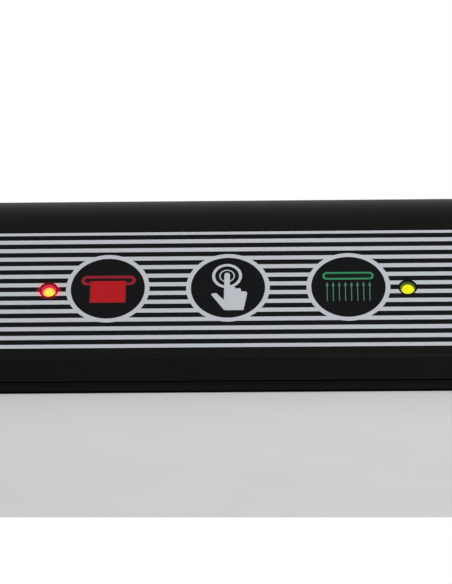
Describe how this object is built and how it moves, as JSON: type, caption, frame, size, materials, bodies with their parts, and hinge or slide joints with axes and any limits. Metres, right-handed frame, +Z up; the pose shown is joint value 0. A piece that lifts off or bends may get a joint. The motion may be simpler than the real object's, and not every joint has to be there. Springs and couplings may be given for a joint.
{
  "type": "vacuum sealer",
  "caption": "Bar-shaped household vacuum sealer: black hinged lid with a sloping control panel over a low base with heat bar, vacuum trough, pump and latch buttons.",
  "frame": {"origin": "on the table plane, under the middle of the whole machine with its hinge knuckles", "axes": "+X along the body to the right seen from the front, +Y from the front face to the rear hinge, +Z up"},
  "size_m": [0.3624, 0.066, 0.0494],
  "materials": {
    "casing_plastic": "fine-textured black ABS",
    "inner_plastic": "fine-textured dark ABS",
    "button_plastic": "satin black ABS",
    "foot_rubber": "matte rubber",
    "foam_rubber": "closed-cell foam",
    "seal_silicone": "matte silicone",
    "tube_silicone": "translucent silicone",
    "steel": "plated steel",
    "spring_steel": "drawn spring wire",
    "brass": "plain brass",
    "bar_resin": "heat-proof laminate",
    "ribbon_metal": "nickel-chrome ribbon",
    "ptfe_cloth": "coated glass cloth",
    "motor_steel": "zinc-plated steel",
    "pump_plastic": "natural nylon",
    "coil_copper": "enamelled copper winding",
    "board_laminate": "solder-masked laminate",
    "transformer_tape": "yellow polyester tape",
    "capacitor_sleeve": "shrink sleeve",
    "relay_case": "blue case",
    "fuse_glass": "glass tube with caps",
    "wire_red": "PVC insulation",
    "chip_black": "moulded epoxy",
    "label_film": "screen-printed film",
    "lamp_red": "diffused red lens",
    "lamp_green": "diffused yellow-green lens"
  },
  "bodies": {
    "base": {"lower_casing": "casing_plastic", "base_deck": "inner_plastic", "rubber_feet": "foot_rubber", "casing_screws": "steel", "hinge_pins": "steel", "heat_bar": "bar_resin", "heating_ribbon": "ribbon_metal", "ribbon_terminals": "brass", "ptfe_tape": "ptfe_cloth", "lower_gasket": "foam_rubber", "pump_motor": "motor_steel", "motor_end_cap": "inner_plastic", "pump_head": "pump_plastic", "pump_diaphragm": "foot_rubber", "pump_head_cover": "pump_plastic", "pump_strap": "steel", "pump_tube": "tube_silicone", "valve_body": "pump_plastic", "valve_coil": "coil_copper", "valve_spring": "spring_steel", "valve_tube": "tube_silicone", "power_board": "board_laminate", "transformer": "transformer_tape", "main_capacitor": "capacitor_sleeve", "heater_relay": "relay_case", "fuse_link": "fuse_glass", "board_screws": "steel", "mains_inlet": "inner_plastic", "inlet_pins": "brass", "lid_switch": "inner_plastic", "base_wiring": "wire_red", "thermal_cutout": "pump_plastic"},
    "lid": {"lid_shell": "casing_plastic", "control_label": "label_film", "touch_board": "board_laminate", "control_chip": "chip_black", "touch_pads": "foam_rubber", "red_lamp": "lamp_red", "green_lamp": "lamp_green", "touch_board_screws": "steel", "lid_liner": "inner_plastic", "liner_screws": "steel", "sealing_pad": "seal_silicone", "upper_gasket": "foam_rubber", "button_spring_left": "spring_steel", "button_spring_right": "spring_steel"},
    "pump_crank": {"pump_crank": "steel"},
    "valve_plunger": {"valve_plunger": "steel"},
    "switch_lever": {"switch_lever": "spring_steel"},
    "button_left": {"button_left": "button_plastic"},
    "button_right": {"button_right": "button_plastic"}
  },
  "joints": [
    {"name": "lid_hinge", "type": "hinge", "parent": "base", "child": "lid", "pos_m": [0, 0.03002, 0.022], "axis": [-1, 0, 0], "range_deg": [0, 68]},
    {"name": "left_release", "type": "slide", "parent": "lid", "child": "button_left", "axis": [1, 0, 0], "range_m": [0, 0.0025], "stiffness_N_per_m": 300, "deforming": ["button_spring_left"]},
    {"name": "right_release", "type": "slide", "parent": "lid", "child": "button_right", "axis": [-1, 0, 0], "range_m": [0, 0.0025], "stiffness_N_per_m": 300, "deforming": ["button_spring_right"]},
    {"name": "pump_spin", "type": "hinge", "parent": "base", "child": "pump_crank", "pos_m": [0, 0.01317, 0.0155], "axis": [1, 0, 0], "continuous": true},
    {"name": "valve_lift", "type": "slide", "parent": "base", "child": "valve_plunger", "axis": [0, 0, 1], "range_m": [0, 0.0015], "stiffness_N_per_m": 150, "deforming": ["valve_spring"]},
    {"name": "switch_press", "type": "hinge", "parent": "base", "child": "switch_lever", "pos_m": [0.135, 0.01018, 0.0287], "axis": [0, 1, 0], "range_deg": [0, 3.5], "stiffness_Nm_per_rad": 0.01}
  ]
}
